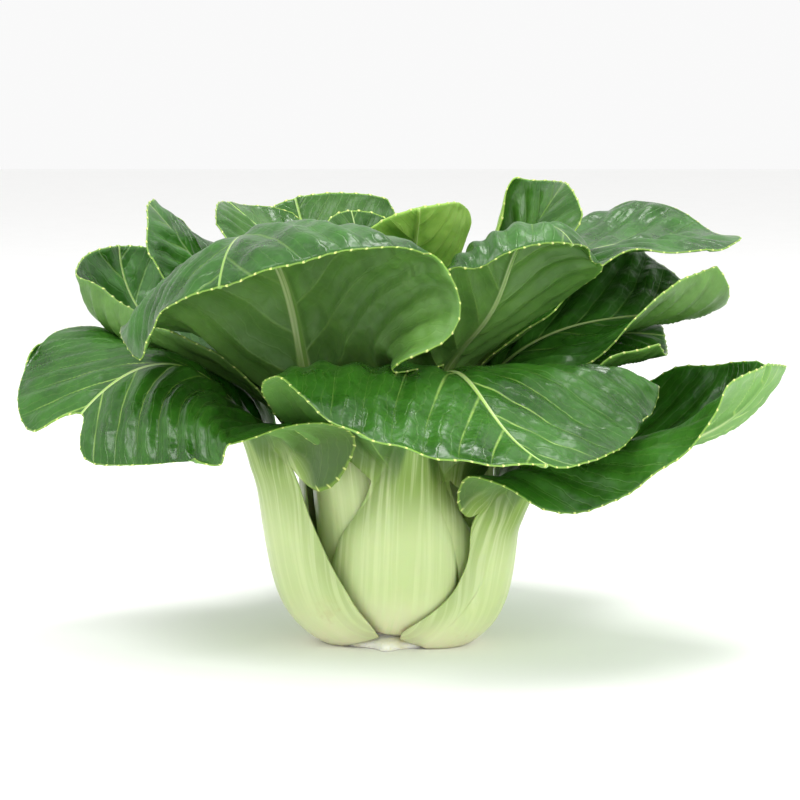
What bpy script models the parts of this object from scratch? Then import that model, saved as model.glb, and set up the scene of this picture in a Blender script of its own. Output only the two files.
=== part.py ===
"""Bok choy: a cut stem with seventeen leaves around it, each leaf a stalk with its midrib and a blade.

Metres, +Z up, origin in the middle of the cut base, the side seen in the photo towards -Y.
Every leaf is first worked out as one sheet of points, its front face: rows run from the cut base
to the tip and columns from one edge to the other. The sheets are then eased apart, and the
stalk and the blade are made as closed bodies behind their share of the sheet.
"""
import math

import bpy
import numpy as np
from mathutils.bvhtree import BVHTree

MM = 0.001

# The bulb that the stalks form together
BULB_RADIUS = 16.0 * MM       # front face of an outer stalk at its base, from the axis
BULB_SWELL = 9.5 * MM         # how far it swells out above the base
SWELL_HEIGHT = 5.5 * MM       # and how soon
BULB_FLARE = 0.17             # outward lean above the swelling
STALK_TOP = 36.0 * MM         # height where a stalk leaves the bulb as a free neck
BASE_HEIGHT = 4.0 * MM        # front face of an outer stalk starts this high, its back at the ground
INNER_HEIGHT = 7.0 * MM       # the same for the first leaf inside the three outer ones
BASE_RISE = 1.3 * MM          # every leaf further in starts this much higher
OUTER_LEAVES = 3              # leaves that share the outer ring
INNER_RADIUS = 0.80           # radius of the next leaf as a share of the outer ring's
RING_STEP = 0.0475            # and how much of that share each leaf further in loses

# Stalk and blade
LAMINA = 0.7 * MM             # thickness of a blade
JOINT_GAP = 0.3 * MM          # room between a blade and the midrib behind it
CLEAR = 1.2 * MM              # room kept between neighbouring leaves
STALK_ROWS = 7
LAST_EVEN_ROW = 0.86          # share of the stalk that these rows span
NECK_ROWS = (3.2 * MM, 0.7 * MM)  # two more rows just before the neck's end
BLADE_ROWS = 12
ROW_GROWTH = 1.25             # above 1, blade rows stand closer together at the neck
SIDE_COLUMNS = 6              # cells from the midline to either edge
INNER_COLUMN = 0.55           # first column beside the middle of a stalk, as a share of its half width
NECK_HALF = 12.5              # mm, half width of an outer stalk at the neck
LEAST_RADIUS = 3.0 * MM       # an inner stalk isn't rolled tighter than this
WRAP = 1.3                    # radians that a stalk's edge reaches around the bulb freely
WRAP_OVER = 0.6               # and the most that a wide one is squeezed in beyond that

# Half width and thickness in mm along the stalk, and half width and thickness of the midrib
# along the blade, each as (share of the length, size)
STALK_HALF = ((0.0, 16.0), (0.12, 20.5), (0.30, 22.0), (0.55, 18.5), (0.80, 14.0), (1.0, NECK_HALF))
STALK_DEEP = ((0.0, 5.0), (0.25, 6.1), (0.7, 6.2), (1.0, 5.6))
RIB_HALF = ((0.0, 9.0), (0.08, 6.5), (0.2, 4.2), (0.4, 2.7), (0.7, 1.6), (1.0, 1.1))
RIB_DEEP = ((0.0, 5.6), (0.1, 4.4), (0.3, 3.2), (0.6, 2.4), (1.0, 1.8))
# Share of the full half width along the blade
BLADE_SHAPE = ((0.0, 0.0), (0.05, 0.16), (0.12, 0.42), (0.2, 0.66), (0.32, 0.88), (0.5, 1.0),
               (0.65, 0.99), (0.8, 0.93), (1.0, 0.78))

# What a leaf has unless its own line says otherwise. Lengths in mm, angles in degrees.
USUAL = dict(
    lean=0.0,                 # extra outward lean of the stalk
    rise=0.0,                 # how much higher its free neck begins
    neck=20.0,                # length of the free neck
    length=92.0,              # length of the blade
    left=50.0, right=50.0,    # half widths of the blade
    pitch=(15, 45, 80, 110),  # tilt from upright at the neck, one third, two thirds and the tip
    turn=0.0,                 # how far the tip heads sideways
    roll=(0, 0),              # twist at the first third and at the tip
    cup=(20, 20),             # bend across each half
    curl=(0, 0),              # further bend at each edge
    furl=(0, 0),              # further bend of each half towards the tip
    ear=(0.14, 0.14),         # how far the blade's base reaches back beside the stalk
    point=0.20,               # how far the tip stands out
    notch=0.0,                # how deep the tip is cut in
    wave=(1.0, 1.0),          # height of the waves along the edges
    opening=0.30,             # share of the blade's length over which it opens flat
    stout=(1.0, 1.0),         # width of either half of the stalk, as a share of the usual one
)

# Outermost first. The azimuth is the side the stalk stands on: 270 faces the viewer.
LEAVES = []


def leaf(name, azimuth, **own):
    """Adds a leaf inside those before it."""
    LEAVES.append(dict(USUAL, name=name, azimuth=azimuth, ring=len(LEAVES), **own))


leaf("leaf_01", 334, neck=8, length=90, left=39, right=66, pitch=(30, 75, 70, 24), turn=13,
     roll=(-20, -13), cup=(-67, 44), curl=(-31, 56), furl=(63, -6), ear=(0.08, 0.15), point=0.11,
     lean=2, rise=-5, stout=(0.62, 1.0))
leaf("leaf_02", 199, neck=12, length=85, left=52, right=55, pitch=(22, 51, 119, 145), turn=5,
     roll=(-15, -15), cup=(-36, -12), curl=(25, 14), furl=(45, -27), ear=(0.14, 0.17), point=0.27,
     notch=0.16, lean=1.3, rise=4.4, opening=0.38, stout=(1.0, 0.93))
leaf("leaf_03", 76, neck=16, length=98, left=58, right=48, pitch=(22, 66, 92, 106), turn=-14,
     roll=(-4, 0), cup=(0, -10), curl=(5, 0), furl=(-10, 0), point=0.12)
leaf("leaf_04", 281, neck=13, length=101, left=50, right=62, pitch=(16, 47, 124, 107), turn=28,
     roll=(-3, -4), cup=(-6, 3), curl=(-6, -19), furl=(-10, -5), ear=(0.0, 0.11), point=0.23,
     rise=-0.7, wave=(0.6, 0.6), opening=0.18, stout=(1.28, 1.28))
leaf("leaf_05", 149, neck=17, length=95, left=42, right=42, pitch=(16, 77, 58, 3), turn=-3,
     roll=(7, -11), cup=(26, 35), curl=(0, 67), furl=(0, 24), point=0.15, rise=0.8)
leaf("leaf_06", 11, neck=21, length=66, left=45, right=35, pitch=(16, 45, 80, 98), turn=-7,
     roll=(6, 26), cup=(-9, -36), curl=(23, -9), furl=(70, -40), point=0.11)
leaf("leaf_07", 224, neck=31, length=110, right=65, pitch=(16, 27, 82, 134), turn=40, roll=(-9, 25),
     cup=(-41, -68), curl=(-18, -1), furl=(-25, 8), ear=(0.05, 0.02), point=0.18, lean=1, rise=-4.7)
leaf("leaf_08", 104, neck=22, left=24, right=44, pitch=(12, 34, 61, 105), turn=2, roll=(-1, -8),
     cup=(11, -5), curl=(1, 0), furl=(5, 0), ear=(0.02, 0.1), point=0.25)
leaf("leaf_09", 361, neck=27, length=85, left=29, right=45, pitch=(16, 62, 86, 76), turn=30,
     roll=(10, 28), cup=(12, 34), curl=(-4, -30), furl=(150, -25), ear=(0.02, 0.04), point=0.06,
     rise=0.3)
leaf("leaf_10", 177, neck=29, length=76, left=29, right=27, pitch=(16, 51, 34, 42), turn=11,
     roll=(-40, -11), cup=(13, -27), curl=(6, 56), furl=(-21, -25), point=0.15, lean=0.4)
leaf("leaf_11", 17, neck=37, length=99, left=25, right=42, pitch=(16, 54, 84, 91), roll=(5, -4),
     cup=(2, 4), curl=(10, -60), furl=(-30, 64), ear=(0.04, 0.02), point=0.18, lean=0.4, rise=1.5)
leaf("leaf_12", 306, neck=32, length=83, left=33, right=28, pitch=(16, 51, 28, 140), turn=10,
     roll=(2, -9), cup=(-5, -12), curl=(-13, 24), furl=(-61, -48), ear=(0.08, 0.02), point=0.06,
     rise=-1)
leaf("leaf_13", 123, neck=31, length=67, left=30, right=18, pitch=(12, 33, 34, 27), turn=3,
     roll=(8, 1), cup=(25, -46), curl=(-42, -20), furl=(51, -29), ear=(0.06, 0.14), point=0.13,
     rise=0.3)
leaf("leaf_14", 22, neck=37, length=66, left=21, right=24, pitch=(16, 37, 31, 36), turn=-13,
     roll=(-38, 1), cup=(7, 35), curl=(-14, 160), furl=(-51, 13), ear=(0.14, 0.02), point=0.09)
leaf("leaf_15", 150, neck=35, length=68, left=25, right=26, pitch=(11, 29, 52, 56), turn=3,
     roll=(4, 11), cup=(14, -17), curl=(0, -3), furl=(4, -7), point=0.14)
leaf("leaf_16", 135, neck=35, length=50, left=20, right=20, pitch=(3, 5, 12, 20), cup=(10, 10),
     point=0.15, rise=0.3)
leaf("leaf_17", 281, neck=38, length=60, left=27, right=29, pitch=(4, 41, 40, 36), turn=-3,
     roll=(14, 17), cup=(22, 71), curl=(-2, -14), furl=(-3, -7), ear=(0.12, 0.09), point=0.26,
     rise=1.3)


def smooth(x):
    """Eases from 0 to 1 between x = 0 and x = 1."""
    x = np.clip(x, 0.0, 1.0)
    return x * x * (3 - 2 * x)


def spline(values, x):
    """A smooth curve through values at even steps of x from 0 to 1."""
    values = np.asarray(values, float)
    last = len(values) - 1
    ends = ([2 * values[0] - values[1]], values, [2 * values[-1] - values[-2]])
    padded = np.concatenate(ends)
    place = np.clip(x, 0, 1) * last
    i = np.minimum(place.astype(int), last - 1)
    f = place - i
    a, b, c, d = (padded[i + k] for k in range(4))
    return 0.5 * (2 * b + (c - a) * f + (2 * a - 5 * b + 4 * c - d) * f**2 + (3 * b - a - 3 * c + d) * f**3)


def along(table, x):
    """Reads a table of (place, size) pairs as a smooth curve."""
    at, size = (np.array(column) for column in zip(*table))
    slope = np.gradient(size, at)
    i = np.clip(np.searchsorted(at, x, side="right") - 1, 0, len(at) - 2)
    step = at[i + 1] - at[i]
    f = np.clip((x - at[i]) / step, 0, 1)
    return ((2 * f**3 - 3 * f**2 + 1) * size[i] + (f**3 - 2 * f**2 + f) * step * slope[i]
            + (3 * f**2 - 2 * f**3) * size[i + 1] + (f**3 - f**2) * step * slope[i + 1])


def share(p):
    """Radius of a leaf's ring as a share of the outer ring's."""
    inwards = p["ring"] - OUTER_LEAVES
    return 1.0 if inwards < 0 else INNER_RADIUS - RING_STEP * inwards


def narrow(p):
    """How much narrower the stalk of an inner leaf is."""
    return 1 - 0.6 * (1 - share(p))


def base_height(p):
    inwards = p["ring"] - OUTER_LEAVES
    return BASE_HEIGHT if inwards < 0 else INNER_HEIGHT + BASE_RISE * inwards


def midline(p):
    """The leaf's middle line: radius, sideways distance, height, tilt and heading at each arc length."""
    c = share(p)
    start = base_height(p)
    h = np.linspace(0, STALK_TOP + p["rise"] * MM - start, 80)
    flare = BULB_FLARE + math.tan(math.radians(p["lean"]))
    r = c * (BULB_RADIUS + BULB_SWELL * (1 - np.exp(-h / SWELL_HEIGHT)) + flare * h)
    z = start + h
    s = np.concatenate([[0], np.cumsum(np.hypot(np.diff(r), np.diff(z)))])
    tilt = np.arctan2(np.gradient(r, s), np.gradient(z, s))
    neck = p["neck"] * MM
    length = p["length"] * MM
    u = np.linspace(0, neck + length, 200)[1:]
    ease = smooth(u / neck)
    bent = spline(p["pitch"], np.clip((u - neck) / length, 0, 1))
    pitch = np.where(u < neck, tilt[-1] * (1 - ease) + math.radians(p["pitch"][0]) * ease, np.radians(bent))
    turn = math.radians(p["turn"]) * smooth(0.8 * u / (neck + length)) / smooth(0.8)
    step = u[1] - u[0]
    return dict(
        s=np.concatenate([s, s[-1] + u]),
        r=np.concatenate([r, r[-1] + np.cumsum(np.sin(pitch) * np.cos(turn) * step)]),
        side=np.concatenate([0 * r, np.cumsum(np.sin(pitch) * np.sin(turn) * step)]),
        z=np.concatenate([z, z[-1] + np.cumsum(np.cos(pitch) * step)]),
        pitch=np.concatenate([tilt, pitch]),
        turn=np.concatenate([0 * r, turn]),
        stalk=s[-1], neck=s[-1] + neck, end=s[-1] + neck + length)


def pick(p, key, v):
    """The left or the right one of a pair, by the sign of v."""
    return np.where(v < 0, p[key][0], p[key][1])


def stalk_half(p, q, v):
    """Half width of the stalk at a share q of its length, on the side that the sign of v gives."""
    own = 1 + (pick(p, "stout", v) - 1) * smooth(q / 0.5) * (1 - smooth((q - 0.6) / 0.4))
    return along(STALK_HALF, q) * MM * narrow(p) * own


def half_width(p, path, u, v):
    """Half width at row u, 0 to 1 along the stalk and 1 to 2 along the blade."""
    base = NECK_HALF * MM * narrow(p)
    full = np.where(v < 0, p["left"], p["right"]) * MM
    on_stalk = stalk_half(p, np.clip(u, 0, 1), v)
    on_blade = base + (full - base) * along(BLADE_SHAPE, np.clip(u - 1, 0, 1))
    return np.where(u <= 1, on_stalk, on_blade)


def lattice(p, path):
    """Rows u and columns v of the sheet. The columns beside the middle follow the midrib's edges."""
    neck = path["neck"]
    near_neck = [1 - back / neck for back in NECK_ROWS]
    stalk = np.append(np.linspace(0, LAST_EVEN_ROW, STALK_ROWS), near_neck)
    blade = 1 + np.linspace(0, 1, BLADE_ROWS) ** ROW_GROWTH
    u = np.concatenate([stalk, blade])[:, None]
    out = np.linspace(0, 1, SIDE_COLUMNS)[None, :]
    halves = []
    for sign in (-1.0, 1.0):
        rib = along(RIB_HALF, np.clip(u - 1, 0, 1)) * MM * narrow(p)
        first = np.where(u < 1, INNER_COLUMN, rib / half_width(p, path, u, sign))
        halves.append(sign * (first + (1 - first) * out))
    v = np.concatenate([halves[0][:, ::-1], 0 * u, halves[1]], axis=1)
    return u + 0 * v, v


def sheet(p, path, u, v):
    """Points of the leaf's front face. Returns them with the arc length and the side distance."""
    t = np.clip(u - 1, 0, 1)
    y = v * half_width(p, path, u, v)
    length = path["end"] - path["neck"]
    inmost = NECK_HALF * MM * narrow(p)
    beyond = np.clip((np.abs(y) - inmost) / np.maximum(half_width(p, path, u, v) - inmost, 1e-6), 0, 1)
    ear = pick(p, "ear", v) * length * beyond**2 * (t / 0.1) * np.exp(1 - t / 0.1)
    tip = p["point"] * t**3 * np.abs(v) ** 2.2 + p["notch"] * t**6 * np.exp(-(v / 0.2) ** 2)
    s = np.where(u <= 1, u * path["neck"], path["neck"] + length * (t - tip) - ear)

    r, side, z, pitch, turn = (np.interp(s, path["s"], path[k]) for k in ("r", "side", "z", "pitch", "turn"))
    far = np.clip((s - path["neck"]) / length, 0, 1)
    first, last = p["roll"]
    roll = np.radians(first * smooth(far / 0.3) + (last - first) * smooth(far))
    normal = np.stack([-np.cos(pitch) * np.cos(turn), -np.cos(pitch) * np.sin(turn), np.sin(pitch)], -1)
    across = np.stack([-np.sin(turn), np.cos(turn), 0 * r], -1)
    cos, sin = np.cos(roll)[..., None], np.sin(roll)[..., None]
    across, normal = across * cos + normal * sin, normal * cos - across * sin

    # Walk out from the midline, bending as the half's own cup, curl and furl say
    full = np.where(v < 0, p["left"], p["right"]) * MM
    cup, curl, furl = (np.radians(pick(p, k, v)) for k in ("cup", "curl", "furl"))
    furl = furl * smooth((far - 0.35) / 0.65)
    open_up = smooth(far / p["opening"])
    hug = np.clip(r, 6 * MM, 45 * MM)
    reach = np.abs(y)
    out, up = np.zeros_like(y), np.zeros_like(y)
    steps = 24
    for k in range(steps):
        walked = (k + 0.5) / steps * reach
        x = walked / full
        bend = (1 - open_up) * np.minimum(walked / hug, 1.2)
        bend = bend + open_up * ((cup + furl) * x + curl * smooth((x - 0.55) / 0.45))
        out += np.cos(bend) * reach / steps
        up += np.sin(bend) * reach / steps
    open_form = np.stack([r, side, z], -1) + (np.sign(y) * out)[..., None] * across + up[..., None] * normal
    turned = np.abs(y) / np.maximum(r, LEAST_RADIUS)
    past = np.maximum(turned - WRAP, 0)
    angle = np.sign(y) * (np.minimum(turned, WRAP) + WRAP_OVER * np.tanh(past / WRAP_OVER))
    bulb_form = np.stack([r * np.cos(angle), r * np.sin(angle), z], -1)
    w = smooth((s / path["stalk"] - 0.55) / 0.45)[..., None]
    points = bulb_form * (1 - w) + open_form * w

    # Waves along the edges, two from base to tip
    phase = np.where(v < 0, 0.0, 2.1)
    lift = pick(p, "wave", v) * MM * smooth(far / 0.3) * np.abs(v) ** 1.6 * np.sin(4 * np.pi * t + phase)
    points = points + lift[..., None] * normal
    a = math.radians(p["azimuth"])
    around = np.array([[math.cos(a), -math.sin(a), 0], [math.sin(a), math.cos(a), 0], [0, 0, 1]])
    return points @ around.T, s, y


def depth(p, path, s, y):
    """How far the back of the leaf stands behind its front face."""
    q = np.clip(s / path["neck"], 0, 1)
    t = np.clip((s - path["neck"]) / (path["end"] - path["neck"]), 0, 1)
    on_stalk = s <= path["neck"]
    half = np.where(on_stalk, stalk_half(p, q, y), along(RIB_HALF, t) * MM * narrow(p))
    deep = np.where(on_stalk, along(STALK_DEEP, q), along(RIB_DEEP, t)) * MM * share(p)
    deep = np.maximum(deep, LAMINA + JOINT_GAP + 0.8 * MM)
    x = np.clip(np.abs(y) / half, 0, 1)
    return LAMINA + (deep - LAMINA) * np.sqrt(1 - x**2) ** 1.2


def cells(rows, columns):
    """Triangles of a sheet, wound so that they face the front. The diagonals of both halves run from
    the edge towards the midline and the tip, so that a leaf's ears don't fold over."""
    found = []
    for i in range(rows - 1):
        for j in range(columns - 1):
            a, b = i * columns + j, i * columns + j + 1
            c, d = a + columns, b + columns
            found += [(a, d, b), (a, c, d)] if j < columns // 2 else [(a, c, b), (b, c, d)]
    return found


def facing(points):
    """Unit normals of a sheet, out of its front face: the mean of the triangles around each point."""
    flat = points.reshape(-1, 3)
    corner = np.array(cells(*points.shape[:2]))
    a, b, c = (flat[corner[:, k]] for k in range(3))
    across = np.cross(b - a, c - a)
    n = np.zeros_like(flat)
    for k in range(3):
        np.add.at(n, corner[:, k], across)
    return (n / np.maximum(np.linalg.norm(n, axis=-1, keepdims=True), 1e-12)).reshape(points.shape)


# How the leaves are eased apart
SETTLE_ROUNDS = 70
REACH = 8 * MM                # how deep a crossing may be and still be eased
BESIDE = 1 * MM               # a point further than this past another sheet's edge is clear of it
PACE = 2 * MM                 # the most that one round moves two leaves apart
GOOD_ENOUGH = 0.25 * MM       # a round with no larger fault ends the easing
SAME_WAY = 0.15               # least cosine between two front faces that face the same way
SPREAD = 0.15                 # share of each move that is evened out with the points around
EAGER = 0.9                   # share of the wanted move that a round makes


def fault(start_is_outer, agree, d, thick):
    """How much a point stands too close to the other sheet, and on which side of it (1 its front,
    -1 its back) it is wanted. The point lies d in front of that sheet.

    Where both face the same way, an outer leaf's point is wanted behind the inner leaf's back, and a
    point of an inner leaf's back is wanted in front of the outer leaf. Where they face each other, or
    one stands across the other, the point is wanted on the side that it is nearer to."""
    behind = d + thick + CLEAR
    before = CLEAR - d
    if agree > SAME_WAY:
        wanted = (behind, -1) if start_is_outer else (before, 1)
        return wanted if wanted[0] <= REACH + thick + CLEAR else (0.0, 0)
    return (before, 1) if d > -0.5 * thick else (behind, -1)


def settle(points, deep):
    """Eases neighbouring leaves apart, round after round, until none stands in another."""
    moved = [np.zeros_like(x) for x in points]
    rows, columns = points[0].shape[:2]
    faces = cells(rows, columns)
    corner = np.array(faces)
    thick = [d.reshape(-1) for d in deep]
    for _ in range(SETTLE_ROUNDS):
        now = [x + m for x, m in zip(points, moved)]
        front = [facing(x).reshape(-1, 3) for x in now]
        flat = [x.reshape(-1, 3) for x in now]
        trees = [BVHTree.FromPolygons(x.tolist(), faces) for x in flat]
        backs = [x - n * d[:, None] for x, n, d in zip(flat, front, thick)]
        low = [x.min(0) - REACH for x in flat]
        high = [x.max(0) + REACH for x in flat]
        push = [np.zeros_like(x) for x in flat]
        count = [np.zeros(len(x)) for x in flat]
        worst = 0.0
        for outer in range(len(now)):
            for inner in range(outer + 1, len(now)):
                if (low[inner] > high[outer]).any() or (low[outer] > high[inner]).any():
                    continue
                for a, b, start in ((outer, inner, flat[outer]), (inner, outer, backs[inner])):
                    within = ((start > low[b]) & (start < high[b])).all(1)
                    for k in np.nonzero(within)[0]:
                        hit, normal, face, distance = trees[b].find_nearest(start[k].tolist(), 2 * REACH)
                        if hit is None:
                            continue
                        normal = np.array(normal)
                        d = float((start[k] - np.array(hit)) @ normal)
                        if distance**2 - d * d > BESIDE**2:
                            continue
                        there = thick[b][corner[face]].mean() if a == outer else LAMINA
                        short, side = fault(a == outer, float(front[a][k] @ normal), d, there)
                        if short <= 0:
                            continue
                        worst = max(worst, short)
                        step = 0.5 * min(short, PACE) * side * normal
                        push[a][k] += step
                        count[a][k] += 1
                        push[b][corner[face]] -= step
                        count[b][corner[face]] += 1
        for k in range(len(moved)):
            mean = (push[k] / np.maximum(count[k], 1)[:, None]).reshape(rows, columns, 3)
            total = moved[k] + EAGER * mean
            pad = np.pad(total, ((1, 1), (1, 1), (0, 0)), mode="edge")
            around = 0.25 * (pad[2:, 1:-1] + pad[:-2, 1:-1] + pad[1:-1, 2:] + pad[1:-1, :-2])
            moved[k] = (1 - SPREAD) * total + SPREAD * around
        if worst < GOOD_ENOUGH:
            break
    return [x + m for x, m in zip(points, moved)]


def all_leaves():
    """The settled sheets, with the depth of each point."""
    paths = [midline(p) for p in LEAVES]
    points, deep = [], []
    for p, path in zip(LEAVES, paths):
        u, v = lattice(p, path)
        x, s, y = sheet(p, path, u, v)
        points.append(x)
        deep.append(depth(p, path, s, y))
    return settle(points, deep), deep


def make_object(name, points, faces, material, smooth_shading=True):
    """Adds a mesh object to the scene."""
    mesh = bpy.data.meshes.new(name)
    mesh.from_pydata([tuple(float(x) for x in q) for q in points], [], faces)
    mesh.validate()
    mesh.polygons.foreach_set("use_smooth", [smooth_shading] * len(mesh.polygons))
    mesh.materials.append(material)
    made = bpy.data.objects.new(name, mesh)
    bpy.context.scene.collection.objects.link(made)
    return made


def blade(points, front):
    """A blade's closed body: the blade rows of the sheet and the same points one lamina behind."""
    top = points[STALK_ROWS + 2:]
    behind = top - front[STALK_ROWS + 2:] * LAMINA
    rows, columns = top.shape[:2]
    count = rows * columns
    faces = cells(rows, columns)
    faces += [(a + count, c + count, b + count) for a, b, c in faces]
    last = count - columns
    rim = [i for i in range(columns)]
    rim += [i * columns + columns - 1 for i in range(1, rows)]
    rim += [last + j for j in range(columns - 2, -1, -1)]
    rim += [i * columns for i in range(rows - 2, 0, -1)]
    for a, b in zip(rim, rim[1:] + rim[:1]):
        faces += [(a, b, b + count), (a, b + count, a + count)]
    return np.concatenate([top.reshape(-1, 3), behind.reshape(-1, 3)]), faces


RIB_END = 3                   # blade rows at the tip that the midrib doesn't reach


def stalk(points, front, deep, floor):
    """A stalk's closed body, not below the floor: rings of eight points, five in front, three behind.

    On the neck's last row and along the blade the front of the ring lies one lamina and the
    joint's gap behind the sheet."""
    rows, columns = points.shape[:2]
    middle = columns // 2
    rings = []
    for i in range(rows - RIB_END):
        p, n, d = points[i], front[i], deep[i]
        if i <= STALK_ROWS:
            at = (0, middle - 1, middle, middle + 1, columns - 1)
            face = [p[k] for k in at]
            back = [p[k] - n[k] * d[k] for k in (middle + 1, middle, middle - 1)]
        else:
            sunk = LAMINA + JOINT_GAP
            a, b, c = (p[k] - n[k] * sunk for k in (middle - 1, middle, middle + 1))
            face = [a, (a + b) / 2, b, (b + c) / 2, c]
            side = 0.55 * (d[middle] - sunk)
            back = [face[3] - n[middle + 1] * side, b - n[middle] * (d[middle] - sunk),
                    face[1] - n[middle - 1] * side]
        rings.append(face + back)
    ring = 8
    at = np.array(rings)
    at[..., 2] = np.maximum(at[..., 2], floor)
    faces = []
    for i in range(len(rings) - 1):
        for j in range(ring):
            a, b = i * ring + j, i * ring + (j + 1) % ring
            faces += [(a, b + ring, b), (a, a + ring, b + ring)]
    last = (len(rings) - 1) * ring
    cap = [(0, 7, 1), (7, 6, 1), (1, 6, 2), (6, 3, 2), (6, 5, 3), (5, 4, 3)]
    faces += [tuple(reversed(f)) for f in cap]
    faces += [tuple(last + k for k in f) for f in cap]
    return at.reshape(-1, 3), faces


STEM_RADIUS = 15.5 * MM       # of the cut face
STEM_FLARE = 1.2 * MM         # wider at the ground
STEM_DISC = 2.6 * MM          # height of the disc below the inner stalks
STEM_TOP = 21 * MM            # the cone above it that the inner stalks stand around
STEM_SIDES = 36
LOBE = 4.2 * MM               # how far the cut face reaches out between the two front stalks
LOBE_AT = 265
LOBE_SPREAD = 9.0


def stem(points):
    """The cut stem: a disc with one lobe, and a cone up to the innermost stalk bases."""
    stalks = np.concatenate([x[:4].reshape(-1, 3) for x in points])
    reach = np.hypot(stalks[:, 0], stalks[:, 1])

    def room(z):
        beside = np.abs(stalks[:, 2] - z) < 3 * MM
        return max(0.8 * MM, reach[beside].min() - 1.3 * MM) if beside.any() else 0.8 * MM

    levels = [(0.0, STEM_RADIUS + STEM_FLARE - 0.6 * MM, 1.0), (0.6 * MM, STEM_RADIUS + STEM_FLARE, 1.0),
              (STEM_DISC - 0.4 * MM, STEM_RADIUS, 1.0), (STEM_DISC, STEM_RADIUS - 0.7 * MM, 0.6)]
    cone = STEM_RADIUS - 3 * MM
    for z in np.linspace(STEM_DISC + 0.4 * MM, STEM_TOP, 5):
        cone = min(cone, room(z))
        levels.append((z, cone, 0.0))
    ring = []
    for z, radius, lobed in levels:
        for k in range(STEM_SIDES):
            a = 360.0 * k / STEM_SIDES
            r = radius + lobed * LOBE * math.exp(-((a - LOBE_AT) / LOBE_SPREAD) ** 2)
            ring.append((r * math.cos(math.radians(a)), r * math.sin(math.radians(a)), z))
    faces = []
    for i in range(len(levels) - 1):
        for k in range(STEM_SIDES):
            a, b = i * STEM_SIDES + k, i * STEM_SIDES + (k + 1) % STEM_SIDES
            faces.append((a, b, b + STEM_SIDES, a + STEM_SIDES))
    top = (len(levels) - 1) * STEM_SIDES
    faces.append(tuple(reversed(range(STEM_SIDES))))
    faces.append(tuple(top + k for k in range(STEM_SIDES)))
    return ring, faces


def material(name, colour, roughness):
    """A plain material with a linear colour."""
    made = bpy.data.materials.new(name)
    made.use_nodes = True
    shader = made.node_tree.nodes["Principled BSDF"]
    shader.inputs["Base Color"].default_value = (*colour, 1.0)
    shader.inputs["Roughness"].default_value = roughness
    shader.inputs["Metallic"].default_value = 0.0
    made.diffuse_color = (*colour, 1.0)
    return made


def floor_of(p):
    """Outer stalks may reach the ground, inner ones stay above the stem's disc."""
    return 0.0 if p["ring"] < OUTER_LEAVES else STEM_DISC + 0.6 * MM


STEM_COLOUR = (0.66, 0.68, 0.42)
STALK_COLOUR = (0.47, 0.60, 0.22)
BLADE_COLOUR = (0.045, 0.135, 0.028)


def main():
    for old in list(bpy.data.objects):
        bpy.data.objects.remove(old, do_unlink=True)
    points, deep = all_leaves()
    ring, faces = stem(points)
    make_object("stem", ring, faces, material("cut_stem", STEM_COLOUR, 0.6), False)
    for p, x, d in zip(LEAVES, points, deep):
        front = facing(x)
        body, faces = stalk(x, front, d, floor_of(p))
        make_object(p["name"] + "_stalk", body, faces, material(p["name"] + "_stalk", STALK_COLOUR, 0.35))
        body, faces = blade(x, front)
        make_object(p["name"] + "_blade", body, faces, material(p["name"] + "_blade", BLADE_COLOUR, 0.4))


main()
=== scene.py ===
"""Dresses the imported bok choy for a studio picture: a fine leaf for each stalk and its blade, and the stem.

Metres, +Z up, origin in the middle of the cut base, the side seen in the photo towards -Y. Each leaf is
worked out as in the part's own source: a sheet of points from the cut base to the tip, eased apart from its
neighbours. Here the sheet is drawn finely and gets its veins, blisters, waves and toothed edge.
"""
import math
from functools import partial

import bpy
import numpy as np
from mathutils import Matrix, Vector
from mathutils.bvhtree import BVHTree


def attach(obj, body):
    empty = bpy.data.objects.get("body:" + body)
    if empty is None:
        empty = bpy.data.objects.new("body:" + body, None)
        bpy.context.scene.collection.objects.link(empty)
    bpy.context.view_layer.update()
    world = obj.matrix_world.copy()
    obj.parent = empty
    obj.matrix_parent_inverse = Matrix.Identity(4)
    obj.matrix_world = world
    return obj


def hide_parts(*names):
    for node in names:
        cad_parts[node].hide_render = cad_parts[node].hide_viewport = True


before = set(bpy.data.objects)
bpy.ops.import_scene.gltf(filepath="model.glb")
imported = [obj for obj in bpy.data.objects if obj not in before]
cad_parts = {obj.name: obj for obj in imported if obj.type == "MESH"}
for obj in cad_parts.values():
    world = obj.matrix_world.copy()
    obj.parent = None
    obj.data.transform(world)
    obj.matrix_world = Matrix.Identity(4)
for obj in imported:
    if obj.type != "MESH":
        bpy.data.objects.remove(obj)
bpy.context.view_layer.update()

bl_info = {
    "name": "Bok choy",
    "version": (1, 0, 0),
    "blender": (4, 5, 0),
    "location": "View3D > Sidebar > Bok choy",
    "description": "Builds the leaves and the cut stem of a head of bok choy around its packed frame",
    "category": "Object",
}

MM = 0.001

# The bulb that the stalks form together
BULB_RADIUS = 16.0 * MM       # front face of an outer stalk at its base, from the axis
BULB_SWELL = 9.5 * MM         # how far it swells out above the base
SWELL_HEIGHT = 5.5 * MM       # and how soon
BULB_FLARE = 0.17             # outward lean above the swelling
STALK_TOP = 36.0 * MM         # height where a stalk leaves the bulb as a free neck
BASE_HEIGHT = 4.0 * MM        # front face of an outer stalk starts this high, its back at the ground
INNER_HEIGHT = 7.0 * MM       # the same for the first leaf inside the three outer ones
BASE_RISE = 1.3 * MM          # every leaf further in starts this much higher
OUTER_LEAVES = 3              # leaves that share the outer ring
INNER_RADIUS = 0.80           # radius of the next leaf as a share of the outer ring's
RING_STEP = 0.0475            # and how much of that share each leaf further in loses

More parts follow.
